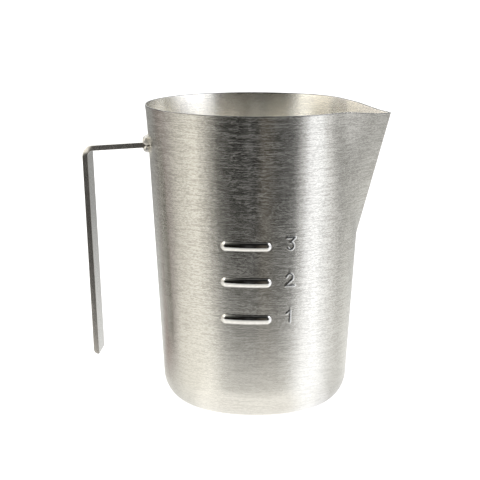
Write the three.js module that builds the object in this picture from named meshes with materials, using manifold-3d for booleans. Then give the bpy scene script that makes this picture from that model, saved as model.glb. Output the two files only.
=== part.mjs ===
// Candle melting pot: a one-litre pouring jug drawn from stainless sheet, with a bar handle.
//
// Millimetres, +Z up. The origin is the centre of the flat base, on the table. The pouring
// spout points to +X, the handle to -X, and the level marks face -Y.

import * as THREE from 'three';
import { mergeVertices } from 'three/addons/utils/BufferGeometryUtils.js';
import Module from 'manifold-3d';

const wasm = await Module();
wasm.setup();

// ---- Driving dimensions --------------------------------------------------------------------

const HEIGHT = 150;          // rim above the table
const RIM_RADIUS = 55.1;     // outside, at the rim
const SHEET = 0.8;           // thickness of the drawn sheet
const TAPER = 0.0663;        // outside radius lost for each millimetre down the wall
const FLARE = 0.6;           // how far the last few millimetres of the rim turn outwards
const FLARE_REACH = 6;       // height over which that flare dies away
const CORNER = 16.3;         // outside radius of the turn from the base into the wall

const SPOUT_TIP_X = 67.4;    // where the spout's ridge line reaches the height of the rim
const SPOUT_LEAN = 0.2692;   // ridge moves out by this much for each millimetre up
const SPOUT_TIP_RADIUS = 3;  // round of the ridge, seen from above
const SPOUT_DROP = 3.4;      // how far the rim dips at the tip of the spout
const SPOUT_DROP_SPREAD = 0.41;   // angle, in radians, over which that dip dies away
const SPOUT_DROP_DEPTH = 30;      // height of wall that follows the dip
const SPOUT_TUCK = 1.2;      // the wall draws in a little beside the spout
const SPOUT_TUCK_SPREAD = 0.2;    // angle, in radians, over which it does

const BAR_WIDTH = 20;        // handle bar, across
const BAR_THICKNESS = 2.6;
const BAR_EDGE = 0.3;        // broken edges of the bar
const ARM_SLOPE = THREE.MathUtils.degToRad(4.2);   // arm droops away from the wall
const GRIP_SLOPE = THREE.MathUtils.degToRad(2.9);  // foot of the grip swings in to the wall
const BEND_INNER = 2.5;      // inside radius of the bend between arm and grip
const BEND_X = -80.15;       // centre of that bend
const BEND_Z = 124.3;
const GRIP_LENGTH = 100;     // straight length below the bend
const GRIP_END_ROUND = 2.2;  // rounded outer edge of the grip's foot

const MARK_HEIGHTS = [87.3, 69.6, 51.4];
const MARK_ANGLE = THREE.MathUtils.degToRad(-91.8);
const MARK_LENGTH = 24.3;
const MARK_WIDTH = 4.4;
const MARK_RISE = 0.9;       // the marks are pressed out from inside, and stand this proud
const NUMERAL_ANGLE = THREE.MathUtils.degToRad(-67);
const NUMERAL_WIDTH = 5.4;
const NUMERAL_HEIGHT = 5.8;
const NUMERAL_LIFT = 1.1;    // numerals sit a little above the middle of their mark
const NUMERAL_STROKE = 0.9;
const NUMERAL_RISE = 0.35;

const BEAD_RADIUS = 1.7;     // round of a weld bead
const BEAD_OFF_WALL = 0.9;   // its centre line, out from the wall
const BEAD_OFF_BAR = 0.6;    // and above or below the bar
const BEAD_HALF_SPAN = 10.7; // half of its length, along the wall

const GAP = 0.3;             // clearance between neighbouring solids
const TURNS = 84;            // facets round the pot
const CORNER_STEPS = 6;      // and over the turn from the base into the wall
const CROWDING = 0.55;       // how much closer together they are at the spout

// ---- Solids --------------------------------------------------------------------------------

// A closed geometry as a manifold solid, with its doubled corners joined.
function solidOf(geometry) {
  const bare = new THREE.BufferGeometry();
  bare.setAttribute('position', geometry.getAttribute('position'));
  bare.setIndex(geometry.getIndex());
  const merged = mergeVertices(bare);
  const index = merged.getIndex().array;
  const triangles = [];
  for (let i = 0; i < index.length; i += 3) {
    const [a, b, c] = index.slice(i, i + 3);
    if (a !== b && b !== c && c !== a) triangles.push(a, b, c);
  }
  const vertProperties = new Float32Array(merged.getAttribute('position').array);
  const triVerts = Uint32Array.from(triangles);
  return new wasm.Manifold(new wasm.Mesh({ numProp: 3, vertProperties, triVerts }));
}

// A manifold solid back as a geometry.
function geometryOf(solid) {
  const { vertProperties, triVerts } = solid.getMesh();
  const geometry = new THREE.BufferGeometry();
  geometry.setAttribute('position', new THREE.BufferAttribute(vertProperties, 3));
  geometry.setIndex(new THREE.BufferAttribute(triVerts, 1));
  geometry.computeVertexNormals();
  return geometry;
}

function joined(solids) {
  return solids.reduce((sum, next) => sum.add(next));
}

// A point at a distance from the pot's axis, an angle round it and a height.
function aroundAxis(radius, angle, z) {
  return new THREE.Vector3(radius * Math.cos(angle), radius * Math.sin(angle), z);
}

// ---- The pot's wall ------------------------------------------------------------------------

// Outside radius of the plain wall at a height above the corner.
function wallRadius(z) {
  const below = HEIGHT - z;
  return RIM_RADIUS - TAPER * below - FLARE * (1 - Math.exp(-below / FLARE_REACH));
}

// Half of the pot's section, from the axis along the base and up to the rim, moved out by
// `grow`. The heights are those of the ungrown section, so two sections match row by row. An
// arc comes back with twice the steps it is asked for.
function sectionPoints(grow, heights) {
  const slope = Math.atan(TAPER);
  const wallAtTable = RIM_RADIUS - FLARE - TAPER * HEIGHT;
  const centreX = wallAtTable + TAPER * CORNER - CORNER / Math.cos(slope);
  const corner = new THREE.Path().absarc(centreX, CORNER, CORNER + grow, -Math.PI / 2, -slope);
  const points = [new THREE.Vector2(0, -grow), ...corner.getPoints(CORNER_STEPS / 2)];
  for (const z of heights) {
    points.push(new THREE.Vector2(wallRadius(z) + grow / Math.cos(slope), z));
  }
  return points;
}

// Heights of the rows of facets: few on the plain wall, closer beside the spout and the flare.
const WALL_ROWS = [40, 86, 97, 108, 119, 130, 140, 146, HEIGHT];

// A solid of revolution from a half section, with the pot's axis upright.
function turned(points) {
  return new THREE.LatheGeometry(points, TURNS).rotateX(Math.PI / 2);
}

// The pot as if it were full and had no spout: all that its outer face holds, moved out by
// `grow`.
function fullPot(grow) {
  const points = sectionPoints(grow, WALL_ROWS);
  points.push(new THREE.Vector2(0, HEIGHT));
  return solidOf(turned(points));
}

// ---- The spout -----------------------------------------------------------------------------

// The spout is the ridge line's tent over the wall: seen from above, two flat flanks run from
// the rounded ridge and touch the wall's circle. This returns the distance of that outline
// from the axis, as a multiple of the wall's radius, at an angle from the ridge.
function spoutStretch(angle, z) {
  const wall = wallRadius(z);
  const ridge = SPOUT_TIP_X - SPOUT_LEAN * (HEIGHT - z);
  if (ridge <= wall) return 1;
  const tipCentre = ridge - SPOUT_TIP_RADIUS;
  const flank = Math.acos((wall - SPOUT_TIP_RADIUS) / tipCentre);
  const tipEdge = Math.atan2(SPOUT_TIP_RADIUS * Math.sin(flank),
    tipCentre + SPOUT_TIP_RADIUS * Math.cos(flank));
  let distance = wall;
  if (angle < tipEdge) {
    const across = tipCentre * Math.sin(angle);
    distance = tipCentre * Math.cos(angle) + Math.sqrt(SPOUT_TIP_RADIUS ** 2 - across ** 2);
  } else if (angle < flank) {
    distance = wall / Math.cos(flank - angle);
  }
  const fullness = (ridge - wall) / (SPOUT_TIP_X - RIM_RADIUS);
  const tuck = SPOUT_TUCK * fullness * Math.exp(-(((angle - flank) / SPOUT_TUCK_SPREAD) ** 2));
  return (distance - tuck) / wall;
}

// How far a point of the wall drops towards the spout's lowered lip.
function spoutDrop(angle, z) {
  const nearRim = THREE.MathUtils.smoothstep(z, HEIGHT - SPOUT_DROP_DEPTH, HEIGHT);
  return SPOUT_DROP * nearRim * Math.exp(-((angle / SPOUT_DROP_SPREAD) ** 2));
}

// Presses the spout into a turned shell, and crowds its facets together at the spout.
function pressSpout(geometry) {
  const position = geometry.getAttribute('position');
  for (let i = 0; i < position.count; i += 1) {
    const x = position.getX(i);
    const y = position.getY(i);
    const evenAngle = Math.atan2(y, x);
    const angle = evenAngle - CROWDING * Math.sin(evenAngle);
    const oldZ = position.getZ(i);
    const z = oldZ - spoutDrop(Math.abs(angle), oldZ);
    const followsWall = oldZ > CORNER ? wallRadius(z) / wallRadius(oldZ) : 1;
    const stretch = oldZ > CORNER ? spoutStretch(Math.abs(angle), z) : 1;
    const moved = aroundAxis(Math.hypot(x, y) * followsWall * stretch, angle, z);
    position.setXYZ(i, moved.x, moved.y, moved.z);
  }
  return geometry;
}

// The drawn shell: one sheet from the middle of the base, up the wall and back down inside.
function shell() {
  const outside = sectionPoints(0, WALL_ROWS);
  const inside = sectionPoints(-SHEET, WALL_ROWS).reverse();
  return solidOf(pressSpout(turned([...outside, ...inside])));
}

// ---- Level marks and numerals --------------------------------------------------------------

// A level arc round the pot's axis, centred on an angle.
class LevelArc extends THREE.Curve {
  constructor(radius, angle, z, halfSpan) {
    super();
    Object.assign(this, { radius, angle, z, halfSpan });
  }

  getPoint(t) {
    const turn = (2 * t - 1) * this.halfSpan / this.radius;
    return aroundAxis(this.radius, this.angle + turn, this.z);
  }
}

// A bar of round section that follows a level arc, with ball ends centred on the arc's ends.
function bentBar(arc, radius) {
  const sides = 16;
  const steps = 6;
  const section = new THREE.Shape().absarc(0, 0, radius, 0, 2 * Math.PI);
  const extrusion = { extrudePath: arc, steps, curveSegments: sides, bevelEnabled: false };
  const pieces = [solidOf(new THREE.ExtrudeGeometry(section, extrusion))];
  for (const end of [arc.getPoint(0), arc.getPoint(1)]) {
    const ball = new THREE.SphereGeometry(radius, sides, sides / 2);
    pieces.push(solidOf(ball.translate(end.x, end.y, end.z)));
  }
  return joined(pieces);
}

// One level mark: the rounded ridge outside the wall, and the hollow behind it.
function levelMark(z) {
  const round = ((MARK_WIDTH / 2) ** 2 + MARK_RISE ** 2) / (2 * MARK_RISE);
  const pathRadius = wallRadius(z) + MARK_RISE - round;
  const arc = new LevelArc(pathRadius, MARK_ANGLE, z, (MARK_LENGTH - MARK_WIDTH) / 2);
  return { ridge: bentBar(arc, round), hollow: bentBar(arc, round - SHEET) };
}

// Bars of each numeral, as [left, bottom, right, top] in fractions of its width and height.
const NUMERAL_BARS = {
  1: [[0.5, 0, 0.5, 1]],
  2: [[0, 1, 1, 1], [1, 0.5, 1, 1], [0, 0.5, 1, 0.5], [0, 0, 0, 0.5], [0, 0, 1, 0]],
  3: [[0, 1, 1, 1], [1, 0, 1, 1], [0, 0.5, 1, 0.5], [0, 0, 1, 0]],
};

// A numeral's raised bars on the outside of the wall, beside its mark.
function raisedNumeral(numeral, z) {
  const depth = 2 * NUMERAL_RISE;
  const width = NUMERAL_WIDTH - NUMERAL_STROKE;
  const height = NUMERAL_HEIGHT - NUMERAL_STROKE;
  const onWall = new THREE.Matrix4()
    .makeRotationFromEuler(new THREE.Euler(Math.PI / 2 - Math.atan(TAPER), 0, 0))
    .premultiply(new THREE.Matrix4().makeRotationZ(NUMERAL_ANGLE + Math.PI / 2))
    .setPosition(aroundAxis(wallRadius(z), NUMERAL_ANGLE, z));
  const bars = NUMERAL_BARS[numeral].map(([left, bottom, right, top]) => {
    const bar = new THREE.BoxGeometry((right - left) * width + NUMERAL_STROKE,
      (top - bottom) * height + NUMERAL_STROKE, depth);
    bar.translate(((left + right) / 2 - 0.5) * width, ((bottom + top) / 2 - 0.5) * height, 0);
    return solidOf(bar.applyMatrix4(onWall));
  });
  return joined(bars);
}

function potBody() {
  const inside = fullPot(-SHEET);
  let body = shell();
  MARK_HEIGHTS.forEach((z, row) => {
    const { ridge, hollow } = levelMark(z);
    const numeral = MARK_HEIGHTS.length - row;
    body = body.add(ridge.subtract(inside)).subtract(hollow);
    body = body.add(raisedNumeral(numeral, z + NUMERAL_LIFT));
  });
  return body;
}

// ---- Handle --------------------------------------------------------------------------------

// Points along the bar are given by their place beside the bend's centre.
const BEND = new THREE.Vector2(BEND_X, BEND_Z);
const BEND_OUTER = BEND_INNER + BAR_THICKNESS;
const TO_WALL = new THREE.Vector2(Math.cos(ARM_SLOPE), Math.sin(ARM_SLOPE));
const ARM_UP = new THREE.Vector2(-Math.sin(ARM_SLOPE), Math.cos(ARM_SLOPE));
const GRIP_DOWN = new THREE.Vector2(Math.sin(GRIP_SLOPE), -Math.cos(GRIP_SLOPE));
const GRIP_OUT = new THREE.Vector2(-Math.cos(GRIP_SLOPE), -Math.sin(GRIP_SLOPE));

function besideBend(first, firstLength, second, secondLength) {
  return BEND.clone().addScaledVector(first, firstLength).addScaledVector(second, secondLength);
}

// Side view of the bar: arm, bend and grip, with the outer edge of the foot rounded off.
function barOutline() {
  const armLength = wallRadius(BEND_Z) / Math.cos(ARM_SLOPE);
  const armAngle = Math.PI / 2 + ARM_SLOPE;
  const gripAngle = Math.PI + GRIP_SLOPE;
  const footStart = GRIP_LENGTH - GRIP_END_ROUND;
  const footRound = besideBend(GRIP_DOWN, footStart, GRIP_OUT, BEND_OUTER - GRIP_END_ROUND);
  const foot = besideBend(GRIP_DOWN, GRIP_LENGTH, GRIP_OUT, BEND_INNER);
  const armTop = besideBend(TO_WALL, armLength, ARM_UP, BEND_OUTER);
  const armUnder = besideBend(TO_WALL, armLength, ARM_UP, BEND_INNER);
  const outline = new THREE.Shape();
  outline.moveTo(armTop.x, armTop.y);
  outline.absarc(BEND.x, BEND.y, BEND_OUTER, armAngle, gripAngle, false);
  outline.absarc(footRound.x, footRound.y, GRIP_END_ROUND, gripAngle,
    gripAngle + Math.PI / 2, false);
  outline.lineTo(foot.x, foot.y);
  outline.absarc(BEND.x, BEND.y, BEND_INNER, gripAngle, armAngle, true);
  outline.lineTo(armUnder.x, armUnder.y);
  outline.closePath();
  return outline;
}

// The whole bar with its broken edges, before it is cut to the wall, moved out by `grow`.
function bar(grow) {
  const depth = BAR_WIDTH - 2 * BAR_EDGE + 2 * grow;
  const geometry = new THREE.ExtrudeGeometry(barOutline(), {
    depth,
    curveSegments: 8,
    bevelSegments: 1,
    bevelThickness: BAR_EDGE,
    bevelSize: BAR_EDGE,
    bevelOffset: grow - BAR_EDGE,
  });
  return solidOf(geometry.rotateX(Math.PI / 2).translate(0, depth / 2, 0));
}

function handleStrap() {
  return bar(0).subtract(fullPot(GAP));
}

// ---- Weld beads ----------------------------------------------------------------------------

// Height of the bar's upper or under face where it meets the wall.
function barFaceAtWall(offset) {
  const along = -wallRadius(BEND_Z) - BEND_X;
  return besideBend(TO_WALL, along / Math.cos(ARM_SLOPE), ARM_UP, offset).y;
}

// One bead along the corner between the bar and the wall. `side` is 1 above the bar and -1
// below it.
function weldBead(side) {
  const face = barFaceAtWall(side > 0 ? BEND_OUTER : BEND_INNER);
  const z = face + side * BEAD_OFF_BAR;
  const arc = new LevelArc(wallRadius(z) + BEAD_OFF_WALL, Math.PI, z, BEAD_HALF_SPAN);
  return bentBar(arc, BEAD_RADIUS).subtract(bar(GAP)).subtract(fullPot(GAP));
}

// ---- Assembly ------------------------------------------------------------------------------

const BRUSHED_STEEL = { color: 0xb8b5ab, roughness: 0.34, metalness: 1 };
const BAR_STEEL = { color: 0xa9a8a3, roughness: 0.28, metalness: 1 };
const WELD_STEEL = { color: 0xc9c4b6, roughness: 0.5, metalness: 1 };

function piece(name, solid, finish) {
  const mesh = new THREE.Mesh(geometryOf(solid), new THREE.MeshStandardMaterial(finish));
  mesh.name = name;
  return mesh;
}

const meltingPot = new THREE.Group();
meltingPot.add(
  piece('pot_body', potBody(), BRUSHED_STEEL),
  piece('handle_strap', handleStrap(), BAR_STEEL),
  piece('weld_bead_top', weldBead(1), WELD_STEEL),
  piece('weld_bead_bottom', weldBead(-1), WELD_STEEL),
);

export default meltingPot;
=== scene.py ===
"""Candle melting pot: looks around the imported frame.

The shapes repeat the CAD part's, finer. They differ in this: the numerals are lower and drawn with
round strokes, the bar's edges are sharper and its bend draws in a little, and the beads are uneven.
Lengths inside the shape functions are millimetres; meshes are made in metres.
"""

import math

import bmesh
import bpy
import numpy as np
from mathutils import Matrix, Vector


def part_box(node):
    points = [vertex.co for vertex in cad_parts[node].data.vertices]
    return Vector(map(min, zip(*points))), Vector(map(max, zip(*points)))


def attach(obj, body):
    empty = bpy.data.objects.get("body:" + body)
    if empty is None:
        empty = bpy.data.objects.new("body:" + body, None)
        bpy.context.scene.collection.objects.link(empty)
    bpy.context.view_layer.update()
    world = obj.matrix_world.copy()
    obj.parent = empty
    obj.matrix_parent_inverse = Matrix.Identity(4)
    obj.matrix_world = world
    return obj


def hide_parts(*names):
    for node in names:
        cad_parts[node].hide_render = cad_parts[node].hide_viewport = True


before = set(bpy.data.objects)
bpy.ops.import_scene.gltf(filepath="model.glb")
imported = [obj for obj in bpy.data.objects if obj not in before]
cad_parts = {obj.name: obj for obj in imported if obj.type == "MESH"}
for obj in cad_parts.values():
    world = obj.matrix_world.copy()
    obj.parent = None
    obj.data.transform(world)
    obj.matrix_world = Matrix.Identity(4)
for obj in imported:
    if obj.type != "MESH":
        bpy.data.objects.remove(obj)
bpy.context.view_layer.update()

MM = 0.001

# ---- Driving dimensions ---------------------------------------------------------------------

POT_HIGH = np.array(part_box("pot_body")[1]) / MM
BAR_LOW, BAR_HIGH = (np.array(corner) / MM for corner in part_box("handle_strap"))

HEIGHT = POT_HIGH[2]
RIM_RADIUS = POT_HIGH[1]
SHEET = 0.8
TAPER = 0.0663          # radius lost for each millimetre down the wall
FLARE = 0.6             # the rim's last few millimetres turn out by this much
FLARE_REACH = 6.0
RIM_BAND = 0.6          # the sheared and deburred edge, whose steel is painted dark as shade, reaches this far down
CORNER = 16.3           # outside radius between base and wall
WALL_SLOPE = math.atan(TAPER)
WALL_AT_TABLE = RIM_RADIUS - FLARE - TAPER * HEIGHT
FLAT_RADIUS = WALL_AT_TABLE + TAPER * CORNER - CORNER / math.cos(WALL_SLOPE)

SPOUT_LEAN = 0.2692     # the ridge moves out by this much for each millimetre up
SPOUT_TIP_RADIUS = 3.0
SPOUT_DROP = 3.4        # the lip dips by this much at the tip
SPOUT_DROP_SPREAD = 0.41
SPOUT_DROP_DEPTH = 30.0
SPOUT_TUCK = 1.2        # the wall draws in a little beside the spout
SPOUT_TUCK_SPREAD = 0.2
SPOUT_TIP_X = POT_HIGH[0] + SPOUT_LEAN * SPOUT_DROP

MARK_HEIGHTS = (87.3, 69.6, 51.4)
MARK_ANGLE = math.radians(-91.8)
MARK_LENGTH = 24.3
MARK_WIDTH = 4.4
MARK_RISE = 0.9
NUMERAL_ANGLE = math.radians(-67)
NUMERAL_WIDTH = 5.4
NUMERAL_HEIGHT = 5.8
NUMERAL_LIFT = 1.1      # numerals sit a little above the middle of their mark
NUMERAL_STROKE = 0.9
NUMERAL_RISE = 0.2      # lower than the CAD part's, because they are faint in the photo

BAR_HALF_WIDTH = BAR_HIGH[1]
BAR_THICKNESS = 2.6
BAR_EDGE = 0.2          # round of the bar's edges
ARM_SLOPE = math.radians(4.2)
GRIP_SLOPE = math.radians(2.9)
BEND_INNER = 2.5
BEND_OUTER = BEND_INNER + BAR_THICKNESS
BEND_X = BAR_LOW[0] + BEND_OUTER
BEND_Z = 124.3
ARM_LENGTH = 27.0       # to just outside the wall, where the bar's end is fitted to its curve
GRIP_LENGTH = 100.0
GRIP_END_ROUND = 2.2
BEND_PINCH = 1.3        # the outer side of the bend draws in by this much at each edge

BEAD_RADIUS = 1.7
BEAD_OFF_WALL = 0.9
BEAD_OFF_BAR = 0.6
BEAD_HALF_SPAN = 10.7

HEAT_ALONG_ARM = 26.0   # middle of the heated patch of wall at the weld, from the bend's centre
HEAT_UP = 5.5

# Angles from the middle of a mark or a numeral, in degrees, where the pot's columns get finer
# or coarser, and how far above and below them its rows stay fine.
MARK_END_INNER = 11
MARK_END_OUTER = 15.8
NUMERAL_SIDE = 4.2
RIDGE_SIDE = 8
FLANK_END = 48
FINE_MARGIN = 0.6

# The finishes of the pot's faces, as places in POT_FINISHES. A face has the finish of a mark or a
# numeral where it stands out of the wall by more than these lengths.
OUTSIDE, RIM, INSIDE, MARKS, NUMERALS = range(5)
MARK_FINISH_FROM = MARK_RISE / 18
NUMERAL_FINISH_FROM = NUMERAL_RISE / 4

# ---- Camera ---------------------------------------------------------------------------------

CAMERA_AZIMUTH = math.radians(3.37)
CAMERA_DISTANCE = 1.0135
CAMERA_HEIGHT = 0.2618
CAMERA_PITCH = 0.1759
CAMERA_YAW = -0.0076
CAMERA_ROLL = 0.0039
CAMERA_LENS = 154.7


def add_camera():
    data = bpy.data.cameras.new("camera")
    data.lens = CAMERA_LENS
    data.sensor_width = 36
    camera = bpy.data.objects.new("camera", data)
    level = math.cos(CAMERA_PITCH)
    forward = Vector((math.sin(CAMERA_YAW) * level, math.cos(CAMERA_YAW) * level, -math.sin(CAMERA_PITCH)))
    right = Vector((math.cos(CAMERA_YAW), -math.sin(CAMERA_YAW), 0))
    up = right.cross(forward)
    rolled_right = math.cos(CAMERA_ROLL) * right + math.sin(CAMERA_ROLL) * up
    rolled_up = math.cos(CAMERA_ROLL) * up - math.sin(CAMERA_ROLL) * right
    axes = Matrix((rolled_right, rolled_up, -forward)).transposed()
    place = Matrix.Translation((0, -CAMERA_DISTANCE, CAMERA_HEIGHT)) @ axes.to_4x4()
    camera.matrix_world = Matrix.Rotation(CAMERA_AZIMUTH, 4, "Z") @ place
    bpy.context.scene.collection.objects.link(camera)
    bpy.context.scene.camera = camera


# ---- Mesh helpers ---------------------------------------------------------------------------


def add_mesh(name, points, faces):
    """A smooth-shaded mesh object from points in millimetres, with its faces pointing out."""
    mesh = bpy.data.meshes.new(name)
    mesh.from_pydata((np.asarray(points) * MM).tolist(), [], faces)
    shape = bmesh.new()
    shape.from_mesh(mesh)
    bmesh.ops.recalc_face_normals(shape, faces=shape.faces)
    shape.to_mesh(mesh)
    shape.free()
    mesh.shade_smooth()
    thing = bpy.data.objects.new(name, mesh)
    bpy.context.scene.collection.objects.link(thing)
    return thing


def tube_mesh(name, rings, start=None, end=None):
    """Joins equal rings of points into a closed tube, with a point or a flat cap at each end."""
    rings = np.asarray(rings)
    count, sides = rings.shape[:2]
    points = list(rings.reshape(-1, 3))
    faces = []
    for row in range(count - 1):
        here = row * sides
        for side in range(sides):
            after = (side + 1) % sides
            faces.append((here + side, here + after, here + sides + after, here + sides + side))
    for tip, first in ((start, 0), (end, (count - 1) * sides)):
        ring = [first + side for side in range(sides)]
        if tip is None:
            faces.append(ring)
            continue
        points.append(tip)
        centre = len(points) - 1
        faces.extend((ring[side], ring[(side + 1) % sides], centre) for side in range(sides))
    return add_mesh(name, points, faces)


def arc_points(centre, radius, first, last, steps=8):
    """Points on an arc from one angle to another, in degrees."""
    turns = np.radians(np.linspace(first, last, steps))
    return [(centre[0] + radius * math.cos(a), centre[1] + radius * math.sin(a)) for a in turns]


def spread(stops):
    """Values from the first stop to the last. Each stop but the last gives the step after it."""
    values = []
    for (start, step), (end, _) in zip(stops, stops[1:]):
        values.extend(np.linspace(start, end, max(1, round((end - start) / step)), endpoint=False))
    return np.array(values + [stops[-1][0]])


# ---- Pot body -------------------------------------------------------------------------------


def wall_radius(z):
    below = HEIGHT - z
    return RIM_RADIUS - TAPER * below - FLARE * (1 - np.exp(-below / FLARE_REACH))


def wall_heights():
    """Heights of the rows of the wall: fine over the marks and numerals and at the rim."""
    stops = [(CORNER, 3.0)]
    for height in reversed(MARK_HEIGHTS):
        stops.append((height - MARK_WIDTH / 2 - FINE_MARGIN, 0.3))
        stops.append((height + NUMERAL_LIFT + NUMERAL_HEIGHT / 2 + FINE_MARGIN, 2.0))
    stops += [(HEIGHT - 4, 0.8), (HEIGHT - RIM_BAND, 0.2), (HEIGHT - SHEET / 2, 0)]
    return spread(stops)


def column_angles():
    """Angles of the columns, in radians: fine at the ends of the marks, the numerals and the ridge."""
    mark = math.degrees(MARK_ANGLE)
    numeral = math.degrees(NUMERAL_ANGLE)
    degrees = spread([
        (-180, 3.0), (mark - MARK_END_OUTER, 0.3), (mark - MARK_END_INNER, 1.2),
        (mark + MARK_END_INNER, 0.3), (mark + MARK_END_OUTER, 1.0), (numeral - NUMERAL_SIDE, 0.25),
        (numeral + NUMERAL_SIDE, 1.4), (-RIDGE_SIDE, 0.5), (RIDGE_SIDE, 1.4), (FLANK_END, 3.0), (180, 0),
    ])
    return np.radians(degrees[:-1])


def shell_section():
    """(radius, height) from the middle of the underside, up outside, over the rim, down inside."""
    heights = wall_heights()

    def one_side(inset):
        flat = [(radius, inset) for radius in spread([(4, 5.0), (FLAT_RADIUS, 0)])[:-1]]
        corner = arc_points((FLAT_RADIUS, CORNER), CORNER - inset, -90, -math.degrees(WALL_SLOPE), 18)
        wall = [(wall_radius(z) - inset, z) for z in heights]
        return flat + corner + wall

    lip_radius = SHEET / 2
    lip = [
        (RIM_RADIUS - lip_radius + lip_radius * math.cos(a), HEIGHT - lip_radius + lip_radius * math.sin(a))
        for a in np.linspace(0, math.pi, 7)[1:-1]
    ]
    return np.array(one_side(0) + lip + one_side(SHEET)[::-1])


def finish_rows(section):
    """Which finish each row of faces has: outside, the sheared rim painted dark as shade, or inside."""
    middle = len(section) // 2
    rows = np.arange(len(section) - 1)
    at_rim = np.minimum(section[:-1, 1], section[1:, 1]) > HEIGHT - RIM_BAND
    return np.where(at_rim, RIM, np.where(rows < middle, OUTSIDE, INSIDE))


def spout_stretch(angle, z):
    """Distance of the spout's outline from the axis, as a multiple of the wall's radius."""
    wall = wall_radius(z)
    ridge = SPOUT_TIP_X - SPOUT_LEAN * (HEIGHT - z)
    tip_centre = np.maximum(ridge, wall + 1e-6) - SPOUT_TIP_RADIUS
    flank = np.arccos((wall - SPOUT_TIP_RADIUS) / tip_centre)
    tip_edge = np.arctan2(SPOUT_TIP_RADIUS * np.sin(flank), tip_centre + SPOUT_TIP_RADIUS * np.cos(flank))
    across = np.minimum(tip_centre * np.sin(angle), SPOUT_TIP_RADIUS)
    on_tip = tip_centre * np.cos(angle) + np.sqrt(SPOUT_TIP_RADIUS**2 - across**2)
    on_flank = wall / np.cos(np.minimum(flank - angle, 1.2))
    distance = np.where(angle < tip_edge, on_tip, np.where(angle < flank, on_flank, wall))
    fullness = np.maximum(ridge - wall, 0) / (SPOUT_TIP_X - RIM_RADIUS)
    tuck = SPOUT_TUCK * fullness * np.exp(-(((angle - flank) / SPOUT_TUCK_SPREAD) ** 2))
    return np.where(ridge > wall, (distance - tuck) / wall, 1.0)


def spout_drop(angle, z):
    t = np.clip((z - HEIGHT + SPOUT_DROP_DEPTH) / SPOUT_DROP_DEPTH, 0, 1)
    return SPOUT_DROP * t * t * (3 - 2 * t) * np.exp(-((angle / SPOUT_DROP_SPREAD) ** 2))


# Strokes of the numerals in a unit square, from the left and the bottom.
NUMERAL_STROKES = {
    1: [(0.3, 0.78), (0.62, 1), (0.62, 0)],
    2: arc_points((0.5, 0.7), 0.3, 170, -35) + [(0.08, 0), (0.95, 0)],
    3: [(0.08, 1), (0.9, 1), (0.42, 0.6)] + arc_points((0.48, 0.3), 0.3, 80, -150),
}


def stroke_distance(x, y, points):
    """Distance of each place from a line through points."""
    nearest = np.full(np.broadcast(x, y).shape, np.inf)
    for (x0, y0), (x1, y1) in zip(points, points[1:]):
        dx, dy = x1 - x0, y1 - y0
        t = np.clip(((x - x0) * dx + (y - y0) * dy) / (dx * dx + dy * dy), 0, 1)
        nearest = np.minimum(nearest, np.hypot(x - x0 - t * dx, y - y0 - t * dy))
    return nearest


def mark_rise(along, up):
    """Height of a level mark above the wall: a round-topped bar with round ends."""
    round_radius = ((MARK_WIDTH / 2) ** 2 + MARK_RISE**2) / (2 * MARK_RISE)
    beyond = np.maximum(np.abs(along) - (MARK_LENGTH - MARK_WIDTH) / 2, 0)
    from_middle = np.minimum(np.hypot(beyond, up), MARK_WIDTH / 2)
    return np.sqrt(round_radius**2 - from_middle**2) - (round_radius - MARK_RISE)


def numeral_rise(numeral, along, up):
    """Height of a numeral above the wall: strokes with a flat middle and soft sides."""
    strokes = NUMERAL_STROKES[numeral]
    points = [((u - 0.5) * NUMERAL_WIDTH, (v - 0.5) * NUMERAL_HEIGHT) for u, v in strokes]
    t = np.clip(1.5 - 2 * stroke_distance(along, up, points) / NUMERAL_STROKE, 0, 1)
    return NUMERAL_RISE * t * t * (3 - 2 * t)


def pressed_out(angle, z):
    """How far the marks and the numerals stand out of the wall."""
    marks = np.zeros(np.broadcast(angle, z).shape)
    numerals = np.zeros(marks.shape)
    from_mark = (angle - MARK_ANGLE) * wall_radius(z)
    from_numeral = (angle - NUMERAL_ANGLE) * wall_radius(z)
    for row, height in enumerate(MARK_HEIGHTS):
        marks += mark_rise(from_mark, z - height)
        numeral = len(MARK_HEIGHTS) - row
        numerals += numeral_rise(numeral, from_numeral, z - height - NUMERAL_LIFT)
    return marks, numerals


def face_mean(values):
    """Mean of a value over the corners of each face between rings."""
    around = (values + np.roll(values, -1, axis=1)) / 2
    return (around[:-1] + around[1:]) / 2


def make_pot():
    section = shell_section()
    radius, z = section[:, :1], section[:, 1:]
    angle = column_angles()[None, :]
    side = np.abs(angle)
    low = z - spout_drop(side, z)
    on_wall = z >= CORNER
    follows = np.where(on_wall, wall_radius(low) / wall_radius(z), 1.0)
    stretch = np.where(on_wall, spout_stretch(side, low), 1.0)
    marks, numerals = (np.where(on_wall, rise, 0.0) for rise in pressed_out(angle, low))
    out = radius * follows * stretch + marks + numerals
    rings = np.stack([out * np.cos(angle), out * np.sin(angle), np.broadcast_to(low, out.shape)], axis=-1)
    pot = tube_mesh("pot_shell", rings, start=(0, 0, 0), end=(0, 0, SHEET))
    finishes = np.repeat(finish_rows(section)[:, None], rings.shape[1], axis=1)
    outer = finishes == OUTSIDE
    finishes[outer & (face_mean(marks) > MARK_FINISH_FROM)] = MARKS
    finishes[outer & (face_mean(numerals) > NUMERAL_FINISH_FROM)] = NUMERALS
    ends = np.repeat([OUTSIDE, INSIDE], rings.shape[1])
    pot.data.polygons.foreach_set("material_index", np.concatenate([finishes.ravel(), ends]))
    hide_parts("pot_body")
    return pot


# ---- Handle ---------------------------------------------------------------------------------


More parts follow.
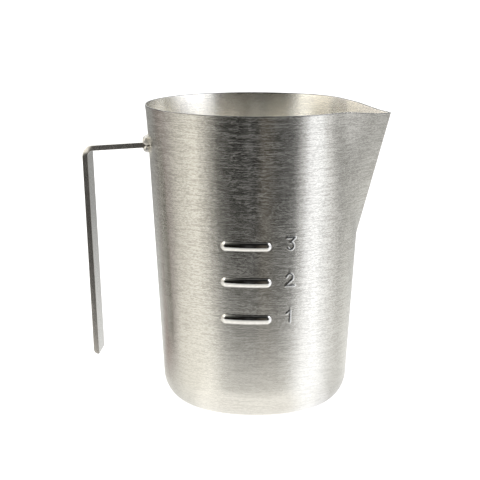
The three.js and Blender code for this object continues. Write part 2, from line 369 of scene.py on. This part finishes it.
def bar_section():
    """Rounded rectangle as (out, across): out from 0, the inner face, to 1, the outer face."""
    flat = BAR_HALF_WIDTH - BAR_EDGE
    edge_share = BAR_EDGE / BAR_THICKNESS
    across_face = np.linspace(flat, -flat, 12)[1:-1]
    # The middle of each rounded edge, where its turn starts, and the points of the face after it.
    edges = (
        (edge_share, flat, 90, [(0, across) for across in across_face]),
        (edge_share, -flat, 180, []),
        (1 - edge_share, -flat, 270, [(1, -across) for across in across_face]),
        (1 - edge_share, flat, 0, []),
    )
    points = []
    for share, across, first, face in edges:
        for turn in np.radians(np.linspace(first, first + 90, 4)):
            points.append((share + edge_share * math.cos(turn), across + BAR_EDGE * math.sin(turn)))
        points.extend(face)
    return points


def bar_stations():
    """Places along the bar, from inside the wall's sheet to the foot of the grip.

    Each is a point on the inner face, the outward direction, the thickness and the pinch.
    """
    stations = []
    arm_turn = math.pi / 2 + ARM_SLOPE
    grip_turn = math.pi + GRIP_SLOPE
    bend = np.array([BEND_X, BEND_Z])

    def station(turn, along, thickness=BAR_THICKNESS, pinch=0.0):
        out = np.array([math.cos(turn), math.sin(turn)])
        forward = np.array([-math.sin(turn), math.cos(turn)])
        stations.append((bend + BEND_INNER * out + along * forward, out, thickness, pinch))

    for along in np.linspace(-ARM_LENGTH, 0, 10)[:-1]:
        station(arm_turn, along)
    for t in np.linspace(0, 1, 25):
        station(arm_turn + t * (grip_turn - arm_turn), 0, pinch=BEND_PINCH * math.sin(math.pi * t))
    for along in np.linspace(0, GRIP_LENGTH - GRIP_END_ROUND, 14)[1:]:
        station(grip_turn, along)
    for turn in np.radians(np.linspace(0, 90, 7)[1:]):
        drop = GRIP_END_ROUND * (1 - math.cos(turn))
        station(grip_turn, GRIP_LENGTH - GRIP_END_ROUND * (1 - math.sin(turn)), BAR_THICKNESS - drop)
    return stations


def make_handle():
    section = bar_section()
    rings = []
    for place, out, thickness, pinch in bar_stations():
        ring = []
        for share, across in section:
            x, z = place + out * share * thickness
            ring.append((x, across * (1 - pinch * share / BAR_HALF_WIDTH), z))
        rings.append(ring)
    rings = np.array(rings)
    into_sheet = wall_radius(rings[0, :, 2]) - SHEET / 2
    rings[0, :, 0] = -np.sqrt(into_sheet**2 - rings[0, :, 1] ** 2)
    handle = tube_mesh("handle_bar", rings, start=(-into_sheet.mean(), 0, rings[0, :, 2].mean()))
    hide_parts("handle_strap")
    return handle


# ---- Weld beads -----------------------------------------------------------------------------


def bead_lumps(t, seed):
    """Uneven swelling of a hand-laid bead along its length, about 1, with fuller ends."""
    ripple = 0.04 * math.cos(2 * math.pi * 13 * t + seed)
    wander = 0.07 * math.sin(7.3 * t + 2.1 * seed) + 0.05 * math.sin(17.0 * t + seed)
    fuller = 0.2 * max(0.0, (abs(t) - 0.7) / 0.3)
    return 1 + ripple + wander + fuller


def make_bead(name, node, side, seed):
    """side is 1 for the bead above the bar and -1 for the one below."""
    face_offset = BEND_OUTER if side > 0 else BEND_INNER
    run = (-wall_radius(BEND_Z) - BEND_X) / math.cos(ARM_SLOPE)
    face_z = BEND_Z + run * math.sin(ARM_SLOPE) + face_offset * math.cos(ARM_SLOPE)
    z0 = face_z + side * BEAD_OFF_BAR
    rings = []
    steps, sides = 72, 20
    half = BEAD_HALF_SPAN + BEAD_RADIUS
    for t in np.linspace(-1, 1, steps)[1:-1]:
        into_end = max(0.0, abs(t) * half - BEAD_HALF_SPAN) / BEAD_RADIUS
        radius = BEAD_RADIUS * math.sqrt(1 - min(into_end, 0.999) ** 2) * bead_lumps(t, seed)
        angle = math.pi + t * half / wall_radius(z0)
        ring = []
        for turn in np.linspace(0, 2 * math.pi, sides, endpoint=False):
            z = z0 + radius * math.sin(turn)
            wall = wall_radius(z)
            distance = wall + BEAD_OFF_WALL + radius * math.cos(turn)
            distance = max(distance, wall - SHEET / 2)
            ring.append((distance * math.cos(angle), distance * math.sin(angle), z))
        rings.append(ring)
    bead = tube_mesh(name, rings)
    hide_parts(node)
    return bead


# ---- Materials ------------------------------------------------------------------------------


class Nodes:
    """Shorthand for building a node tree."""

    def __init__(self, tree):
        self.tree = tree

    def add(self, kind, settings=None, **inputs):
        node = self.tree.nodes.new(kind)
        for key, value in (settings or {}).items():
            setattr(node, key, value)
        for key, value in inputs.items():
            self.feed(node, key.replace("_", " "), value)
        return node

    def feed(self, node, socket, value):
        target = node.inputs[socket]
        if isinstance(value, bpy.types.NodeSocket):
            self.tree.links.new(value, target)
        else:
            target.default_value = value

    def math(self, operation, first, second=0.0):
        node = self.add("ShaderNodeMath", {"operation": operation})
        self.feed(node, 0, first)
        self.feed(node, 1, second)
        return node.outputs[0]

    def coordinates(self, kind="Object"):
        return self.add("ShaderNodeTexCoord").outputs[kind]

    def split(self, vector):
        return self.add("ShaderNodeSeparateXYZ", Vector=vector).outputs

    def join(self, x, y, z):
        return self.add("ShaderNodeCombineXYZ", X=x, Y=y, Z=z).outputs[0]

    def length(self, x, y):
        return self.math("SQRT", self.math("ADD", self.math("MULTIPLY", x, x), self.math("MULTIPLY", y, y)))

    def noise(self, vector, scale, detail=2.0, roughness=0.5):
        """Noise between 0 and 1. The scale is per metre along each axis."""
        scaled = self.add("ShaderNodeMapping", Vector=vector, Scale=scale).outputs["Vector"]
        settings = {"Scale": 1.0, "Detail": detail, "Roughness": roughness}
        return self.add("ShaderNodeTexNoise", Vector=scaled, **settings).outputs["Fac"]

    def remap(self, value, low, high, to_low=0.0, to_high=1.0, kind="LINEAR"):
        node = self.add("ShaderNodeMapRange", {"interpolation_type": kind})
        for socket, number in enumerate((value, low, high, to_low, to_high)):
            self.feed(node, socket, number)
        return node.outputs["Result"]

    def mix(self, share, first, second):
        node = self.add("ShaderNodeMix", {"data_type": "RGBA"})
        self.feed(node, 0, share)
        self.feed(node, 6, first)
        self.feed(node, 7, second)
        return node.outputs[2]

    def ramp(self, value, stops, low, high):
        """A smooth colour ramp over (place, colour) stops, with places between low and high."""
        node = self.add("ShaderNodeValToRGB")
        node.color_ramp.interpolation = "EASE"
        elements = node.color_ramp.elements
        while len(elements) < len(stops):
            elements.new(0.5)
        for element, (place, colour) in zip(elements, stops):
            element.position = (place - low) / (high - low)
            element.color = (*colour, 1)
        self.feed(node, 0, self.remap(value, low, high))
        return node.outputs["Color"]


def new_material(name):
    """A material with its Nodes and its shader."""
    material = bpy.data.materials.new(name)
    material.use_nodes = True
    return material, Nodes(material.node_tree), material.node_tree.nodes["Principled BSDF"]


# Noise scales per metre: close together up the wall and far apart round it.
BRUSH_STROKES = (100, 100, 2300)
BRUSH_GRAIN = (650, 650, 2100)
STROKE_SHARE = 0.43
LINE_RANGE = (0.44, 0.56)       # the noise that gives the darkest and the lightest lines
HAZE_FROM = 0.45                # lines with a lighter tint than this scatter light
WORN_HEIGHTS = (0.01, 0.07)     # the brushing is rubbed down towards the base, in metres
WORN_LEAST = 0.5
HEATED_STEEL = (0.80, 0.77, 0.68, 1)
HEAT_REACH = (0.003, 0.011)     # metres from the weld where the heated patch starts to fade, and ends
HEAT_STRENGTH = 0.8
HEAT_SCATTER = 0.35


def brushed_round(name, dark, light, roughness, haze, depth):
    """Steel brushed round the axis: level lines, and a reflection drawn out up the wall.

    The lighter lines scatter a little light, so they show most where the wall reflects the dark.
    """
    material, n, shader = new_material(name)
    x, y, z = n.split(n.coordinates())
    radius = n.length(x, y)
    along_sheet = n.math("ADD", z, n.math("MINIMUM", radius, FLAT_RADIUS * MM))
    unrolled = n.join(x, y, along_sheet)
    strokes = n.noise(unrolled, BRUSH_STROKES, 2.0, 0.6)
    grain = n.noise(unrolled, BRUSH_GRAIN, 3.0, 0.6)
    lines = n.math(
        "ADD", n.math("MULTIPLY", strokes, STROKE_SHARE), n.math("MULTIPLY", grain, 1 - STROKE_SHARE)
    )
    wear = n.remap(z, *WORN_HEIGHTS, WORN_LEAST, 1.0, kind="SMOOTHSTEP")
    centred = n.math("SUBTRACT", n.remap(lines, *LINE_RANGE), 0.5)
    tint = n.math("ADD", n.math("MULTIPLY", centred, wear), 0.5)
    steel = n.mix(tint, (*dark, 1), (*light, 1))
    heat = weld_heat(n)
    from_lines = n.remap(tint, HAZE_FROM, 1.0, 0.0, haze)
    scatter = n.math("ADD", from_lines, n.math("MULTIPLY", heat, HEAT_SCATTER))
    bump = n.add("ShaderNodeBump", Strength=wear, Distance=depth, Height=lines)
    n.feed(shader, "Base Color", n.mix(heat, steel, HEATED_STEEL))
    n.feed(shader, "Metallic", n.math("SUBTRACT", 1.0, scatter))
    n.feed(shader, "Roughness", roughness)
    n.feed(shader, "Anisotropic", 1.0)
    n.feed(shader, "Tangent", n.join(x, y, radius))
    n.feed(shader, "Normal", bump.outputs[0])
    return material


def weld_heat(n):
    """Where the wall was heated and wiped clean round the weld, from 0 to HEAT_STRENGTH."""
    centre = (BEND_X + HEAT_ALONG_ARM, 0, BEND_Z + HEAT_UP)
    from_weld = n.add("ShaderNodeVectorMath", {"operation": "SUBTRACT"}, Vector=n.coordinates())
    n.feed(from_weld, 1, tuple(MM * value for value in centre))
    x, y, z = n.split(from_weld.outputs[0])
    beyond = n.math("MAXIMUM", n.math("SUBTRACT", n.math("ABSOLUTE", y), BEAD_HALF_SPAN * MM), 0.0)
    distance = n.length(n.length(x, z), beyond)
    return n.remap(distance, *HEAT_REACH, HEAT_STRENGTH, 0.0, kind="SMOOTHSTEP")


def pressed_steel(name, dark, light, roughness):
    """Steel on the raised marks: its brushing is rubbed down."""
    material, n, shader = new_material(name)
    grain = n.noise(n.coordinates(), (700, 700, 1800), 2.0)
    n.feed(shader, "Base Color", n.mix(n.remap(grain, 0.3, 0.7), (*dark, 1), (*light, 1)))
    n.feed(shader, "Metallic", 1.0)
    n.feed(shader, "Roughness", n.remap(grain, 0.3, 0.7, *roughness))
    bump = n.add("ShaderNodeBump", Strength=0.2, Distance=0.0001, Height=grain)
    n.feed(shader, "Normal", bump.outputs[0])
    return material


def rim_painted_shade():
    """The deburred rim with painted shade: its steel is painted far darker than the brushed wall, with a
    few fine nicks.
    """
    material, n, shader = new_material("pot_rim_painted_shade")
    nicks = n.noise(n.coordinates(), (900, 900, 900), 3.0)
    n.feed(shader, "Base Color", n.mix(nicks, (0.18, 0.18, 0.18, 1), (0.32, 0.32, 0.31, 1)))
    n.feed(shader, "Metallic", 1.0)
    n.feed(shader, "Roughness", n.remap(nicks, 0.3, 0.7, 0.2, 0.3))
    bump = n.add("ShaderNodeBump", Strength=0.3, Distance=0.0001, Height=nicks)
    n.feed(shader, "Normal", bump.outputs[0])
    return material


def bar_steel():
    """Bar with faint brushing along it and a darker, matt, sheared edge."""
    material, n, shader = new_material("handle_steel")
    place = n.coordinates()
    hairs = n.noise(place, (300, 2600, 60), 3.0, 0.6)
    cloud = n.noise(place, (60, 60, 60), 3.0)
    across = n.split(n.add("ShaderNodeNewGeometry").outputs["Normal"])[1]
    on_edge = n.remap(n.math("ABSOLUTE", across), 0.6, 0.95)
    face = n.mix(n.remap(hairs, 0.3, 0.7), (0.56, 0.555, 0.54, 1), (0.68, 0.675, 0.66, 1))
    edge = n.mix(n.remap(cloud, 0.3, 0.7), (0.30, 0.285, 0.26, 1), (0.48, 0.46, 0.43, 1))
    bump = n.add("ShaderNodeBump", Strength=0.1, Distance=0.0002, Height=hairs)
    n.feed(shader, "Base Color", n.mix(on_edge, face, edge))
    n.feed(shader, "Metallic", n.remap(on_edge, 0.0, 1.0, 1.0, 0.84))
    n.feed(shader, "Roughness", n.remap(hairs, 0.3, 0.7, 0.2, 0.32))
    n.feed(shader, "Normal", bump.outputs[0])
    return material


def weld_steel():
    """Bright, slightly pitted weld metal with a faint straw tint."""
    material, n, shader = new_material("weld_steel")
    place = n.coordinates()
    grain = n.noise(place, (900, 900, 900), 4.0, 0.6)
    patch = n.noise(place, (250, 250, 250))
    tint = n.mix(n.remap(patch, 0.35, 0.65), (0.76, 0.755, 0.74, 1), (0.70, 0.67, 0.60, 1))
    bump = n.add("ShaderNodeBump", Strength=0.4, Distance=0.0003, Height=grain)
    n.feed(shader, "Base Color", tint)
    n.feed(shader, "Metallic", 0.78)
    n.feed(shader, "Roughness", n.remap(grain, 0.3, 0.7, 0.28, 0.5))
    n.feed(shader, "Normal", bump.outputs[0])
    return material


# ---- Studio ---------------------------------------------------------------------------------

# Brightness of the light tent round the pot at table height, and of the lights above, chosen
# so that the steel looks as it does in the photo. The place is the angle in degrees from the
# front (-Y) towards +X.
TENT_LOW = (
    (-180, (1.90, 1.90, 1.85)), (-168, (1.70, 1.70, 1.66)), (-160, (0.12, 0.12, 0.115)),
    (-134, (0.16, 0.16, 0.15)), (-122, (0.20, 0.15, 0.145)), (-110, (0.42, 0.38, 0.37)),
    (-94, (0.85, 0.82, 0.76)), (-82, (1.05, 1.02, 0.94)), (-66, (1.02, 0.99, 0.91)),
    (-56, (0.54, 0.52, 0.48)), (-45, (0.14, 0.135, 0.125)), (-38, (0.006, 0.006, 0.005)),
    (-9, (0.004, 0.004, 0.003)), (-5, (0.06, 0.06, 0.06)), (-1, (0.035, 0.035, 0.035)),
    (3, (0.003, 0.003, 0.003)), (13, (0.095, 0.084, 0.068)), (30, (0.05, 0.051, 0.05)),
    (47, (0.03, 0.03, 0.03)),
    (54, (0.36, 0.36, 0.36)), (66, (1.20, 1.22, 1.29)), (80, (1.28, 1.31, 1.38)),
    (92, (0.85, 0.85, 0.86)), (104, (0.38, 0.38, 0.38)), (116, (0.18, 0.18, 0.18)),
    (130, (0.30, 0.30, 0.29)), (156, (0.20, 0.20, 0.19)), (173, (0.20, 0.20, 0.19)),
    (180, (1.90, 1.90, 1.85)),
)
TENT_HIGH = (
    (-180, (1.60, 1.60, 1.56)), (-134, (0.90, 0.88, 0.84)), (-112, (2.30, 2.25, 2.15)),
    (-92, (1.80, 1.66, 1.40)), (-76, (1.80, 1.68, 1.46)), (-52, (2.70, 2.65, 2.46)),
    (-39, (0.50, 0.49, 0.45)), (-29, (0.06, 0.06, 0.055)), (-12, (0.01, 0.01, 0.01)),
    (30, (0.03, 0.03, 0.03)), (47, (0.27, 0.27, 0.27)), (58, (2.15, 2.18, 2.30)),
    (82, (3.32, 3.38, 3.56)), (100, (2.94, 2.98, 3.12)), (118, (1.50, 1.50, 1.46)),
    (142, (1.60, 1.60, 1.55)), (180, (1.60, 1.60, 1.56)),
)
HIGH_FROM = 0.1         # upward slope of the view where the lights above come in, and are full
HIGH_FULL = 0.4
OVERHEAD = (0.25, 0.25, 0.24)
OVERHEAD_FROM = 0.7     # upward slope where the dim ceiling comes in, and is full
OVERHEAD_FULL = 0.92
FLOOR_SIZE = (40, 40)
FLOOR_DROP = 0.0002     # the floor lies just under the base
FLOOR_GLOW = 0.9        # the floor is partly lit from within, so that it stays even
SUN_STRENGTH = 2.0
SUN_SPREAD = math.radians(100)
TABLE_FRONT = -0.15     # the lit table ends here towards the camera, and the room beyond is dark
TABLE_SIZE = (2.0, 1.4)
TABLE_LIGHT = ((0.12, 1.0), (0.66, 0.32))     # brightness at two distances from the axis
TABLE_EDGE = (0.07, 0.12)                     # from the light near the pot to the light around
TABLE_NEAR = (
    (-180, (0.90, 0.90, 0.88)), (-90, (0.84, 0.83, 0.80)), (-62, (1.04, 1.03, 0.99)),
    (-42, (1.38, 1.36, 1.31)), (-24, (1.28, 1.26, 1.22)), (24, (1.28, 1.26, 1.22)),
    (46, (1.50, 1.52, 1.57)), (62, (1.22, 1.23, 1.27)), (80, (0.80, 0.80, 0.80)),
    (180, (0.90, 0.90, 0.88)),
)
TABLE_AROUND = (
    (-180, (0.80, 0.80, 0.78)), (-146, (0.80, 0.80, 0.78)), (-118, (0.36, 0.28, 0.26)),
    (-103, (0.48, 0.44, 0.42)), (-88, (0.92, 0.90, 0.85)), (-70, (1.08, 1.06, 1.01)),
    (-60, (1.12, 1.10, 1.05)), (-45, (1.20, 1.18, 1.13)), (-36, (1.10, 1.09, 1.06)),
    (-28, (0.90, 0.90, 0.88)), (-18, (0.76, 0.76, 0.74)), (20, (0.76, 0.75, 0.73)),
    (29, (0.92, 0.92, 0.91)), (36, (1.08, 1.08, 1.08)), (45, (1.29, 1.30, 1.33)),
    (57, (1.39, 1.41, 1.47)), (66, (1.62, 1.65, 1.73)), (78, (1.24, 1.26, 1.30)),
    (92, (1.04, 1.04, 1.04)), (106, (0.84, 0.84, 0.83)), (128, (0.96, 0.96, 0.94)),
    (150, (0.90, 0.90, 0.88)), (180, (0.80, 0.80, 0.78)),
)


def angle_from_front(n, x, y):
    """Angle round the pot in degrees, from the front (-Y) towards +X."""
    return n.math("DEGREES", n.math("ARCTAN2", x, n.math("MULTIPLY", y, -1.0)))


def add_world():
    """Light tent seen in the steel; the camera itself sees plain white."""
    world = bpy.data.worlds.new("studio")
    bpy.context.scene.world = world
    world.use_nodes = True
    world.node_tree.nodes.clear()
    n = Nodes(world.node_tree)
    x, y, z = n.split(n.coordinates("Generated"))
    angle = angle_from_front(n, x, y)
    upward = n.remap(z, HIGH_FROM, HIGH_FULL, kind="SMOOTHSTEP")
    tent = n.mix(upward, n.ramp(angle, TENT_LOW, -180, 180), n.ramp(angle, TENT_HIGH, -180, 180))
    tent = n.mix(n.remap(z, OVERHEAD_FROM, OVERHEAD_FULL, kind="SMOOTHSTEP"), tent, (*OVERHEAD, 1))
    seen = n.add("ShaderNodeLightPath").outputs["Is Camera Ray"]
    light = n.add("ShaderNodeBackground", Color=n.mix(seen, tent, (1, 1, 1, 1)))
    n.add("ShaderNodeOutputWorld", Surface=light.outputs[0])


def floor_white():
    """Pale floor that is lit almost evenly, with only a trace of a shadow."""
    material, n, shader = new_material("floor_white")
    cloud = n.noise(n.coordinates(), (40, 40, 40))
    n.feed(shader, "Base Color", n.mix(cloud, (0.28, 0.28, 0.28, 1), (0.30, 0.30, 0.30, 1)))
    n.feed(shader, "Roughness", 0.9)
    n.feed(shader, "Specular IOR Level", 0.1)
    n.feed(shader, "Emission Color", (1, 1, 1, 1))
    n.feed(shader, "Emission Strength", FLOOR_GLOW)
    return material


def table_glow():
    """Lit table, uneven round the pot and dimmer away from it."""
    material, n, shader = new_material("table_glow")
    x, y, _ = n.split(n.coordinates())
    away = n.length(x, y)
    angle = angle_from_front(n, x, y)
    around = n.ramp(angle, TABLE_AROUND, -180, 180)
    near = n.ramp(angle, TABLE_NEAR, -180, 180)
    (middle, even), (far, dim) = TABLE_LIGHT
    n.feed(shader, "Base Color", (0, 0, 0, 1))
    n.feed(shader, "Emission Color", n.mix(n.remap(away, *TABLE_EDGE), near, around))
    n.feed(shader, "Emission Strength", n.remap(away, middle, far, even, dim))
    return material


def add_plane(name, size, centre, material):
    bpy.ops.mesh.primitive_plane_add(size=1, location=(0, 0, 0))
    plane = bpy.context.object
    plane.name = name
    corners = [Vector((x * size[0] + centre[0], y * size[1] + centre[1], centre[2]))
               for x, y in ((-0.5, -0.5), (0.5, -0.5), (-0.5, 0.5), (0.5, 0.5))]
    for vertex, corner in zip(plane.data.vertices, corners):
        vertex.co = corner
    plane.data.materials.append(material)
    return plane


def add_stage():
    floor = add_plane("floor", FLOOR_SIZE, (0, 0, -FLOOR_DROP), floor_white())
    floor.visible_glossy = False
    table_middle = (0, TABLE_FRONT + TABLE_SIZE[1] / 2, -FLOOR_DROP / 2)
    table = add_plane("table", TABLE_SIZE, table_middle, table_glow())
    table.rotation_euler.z = CAMERA_AZIMUTH
    table.visible_camera = False
    table.visible_shadow = False
    table.visible_diffuse = False


def add_sun():
    """Even light from above for the floor only: the steel reflects the tent."""
    data = bpy.data.lights.new("overhead", "SUN")
    data.energy = SUN_STRENGTH
    data.angle = SUN_SPREAD
    sun = bpy.data.objects.new("overhead", data)
    sun.visible_glossy = False
    bpy.context.scene.collection.objects.link(sun)


# ---- Assembly -------------------------------------------------------------------------------

add_camera()
bpy.context.scene.view_settings.view_transform = "Standard"
add_world()
add_stage()
add_sun()

# In the order OUTSIDE, RIM, INSIDE, MARKS, NUMERALS.
POT_FINISHES = (
    brushed_round("pot_outside", (0.55, 0.535, 0.495), (0.75, 0.735, 0.685), 0.24, 0.14, 0.00004),
    # Rim: its steel is painted dark, as painted shade for the dark line along the edge.
    rim_painted_shade(),
    # Inside: the same steel painted much lighter than the outside, as painted light for the bright
    # interior.
    brushed_round("pot_inside_painted_light", (0.79, 0.77, 0.72), (0.90, 0.88, 0.82), 0.24, 0.03, 0.00002),
    pressed_steel("pot_marks", (0.66, 0.65, 0.62), (0.76, 0.75, 0.72), (0.13, 0.18)),
    # Numerals: the pressed steel is painted darker than the wall and the marks, as painted shade for their
    # relief.
    pressed_steel("pot_numerals_painted_shade", (0.36, 0.36, 0.35), (0.50, 0.50, 0.49), (0.22, 0.30)),
)
weld = weld_steel()
PIECES = (
    (make_pot(), POT_FINISHES),
    (make_handle(), (bar_steel(),)),
    (make_bead("weld_top", "weld_bead_top", 1, 0.4), (weld,)),
    (make_bead("weld_bottom", "weld_bead_bottom", -1, 1.9), (weld,)),
)
for thing, materials in PIECES:
    for material in materials:
        thing.data.materials.append(material)
    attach(thing, "root")
